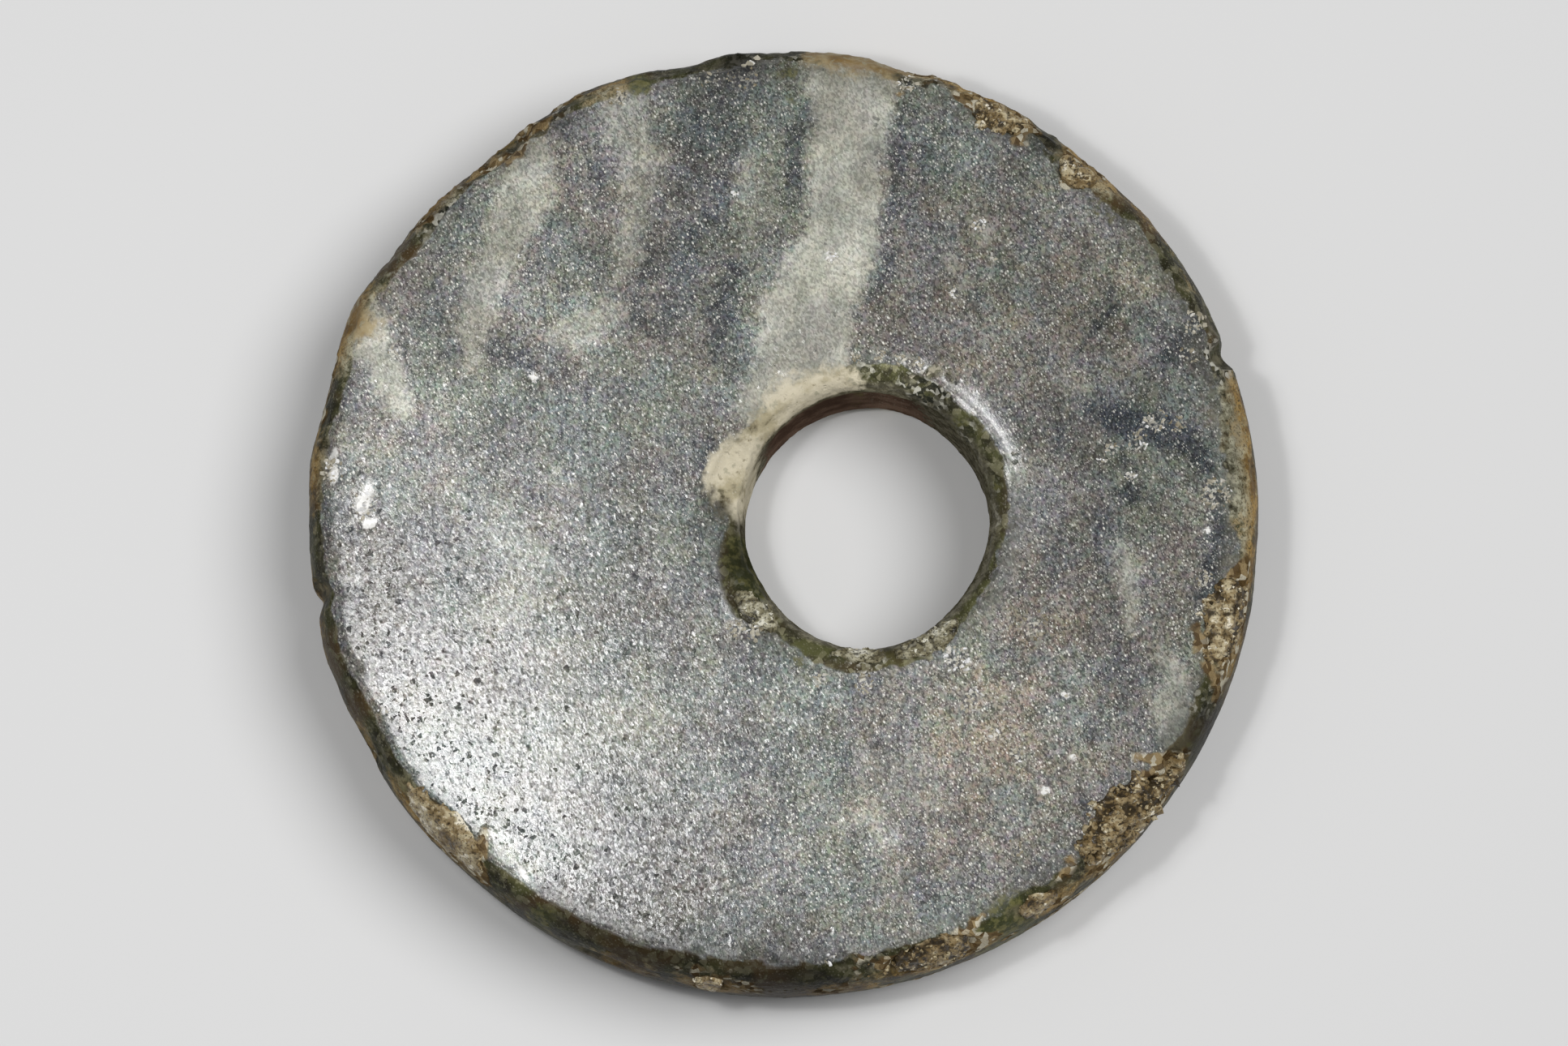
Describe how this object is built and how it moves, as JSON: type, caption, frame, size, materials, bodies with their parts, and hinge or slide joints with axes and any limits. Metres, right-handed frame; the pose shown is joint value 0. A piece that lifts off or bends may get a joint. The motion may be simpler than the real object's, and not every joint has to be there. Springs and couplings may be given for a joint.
{
  "type": "jade disc pendant",
  "caption": "Small polished jade disc with an off-centre drilled bore for a cord, a worn and chipped rim, and crust from burial lodged in its chips.",
  "frame": {"origin": "centre of the bounding box's bottom, on the plane of the flat back face, about the disc's own axis", "axes": "+Z out of the polished front face; the disc lies on its back. Seen from the front, +X is to the right and +Y is up, as in the picture, and the bore lies off the disc's axis towards +X"},
  "size_m": [0.03, 0.03, 0.0048],
  "materials": {
    "jade": "ground and polished nephrite, mottled grey, with paler veins and a darker, rougher rim",
    "burial_crust": "dull granular tan to cream crust from the soil"
  },
  "bodies": {
    "root": {"jade_disc": "jade", "rim_crust_upper_right": "burial_crust", "rim_crust_right_shoulder": "burial_crust", "rim_crust_right": "burial_crust", "rim_crust_lower_right": "burial_crust", "rim_crust_lower_right_small": "burial_crust", "rim_crust_bottom": "burial_crust", "rim_crust_bottom_grain": "burial_crust", "rim_crust_lower_left": "burial_crust", "bore_crust_lower_left": "burial_crust", "bore_crust_bottom": "burial_crust", "bore_crust_lower_right": "burial_crust"}
  },
  "joints": []
}
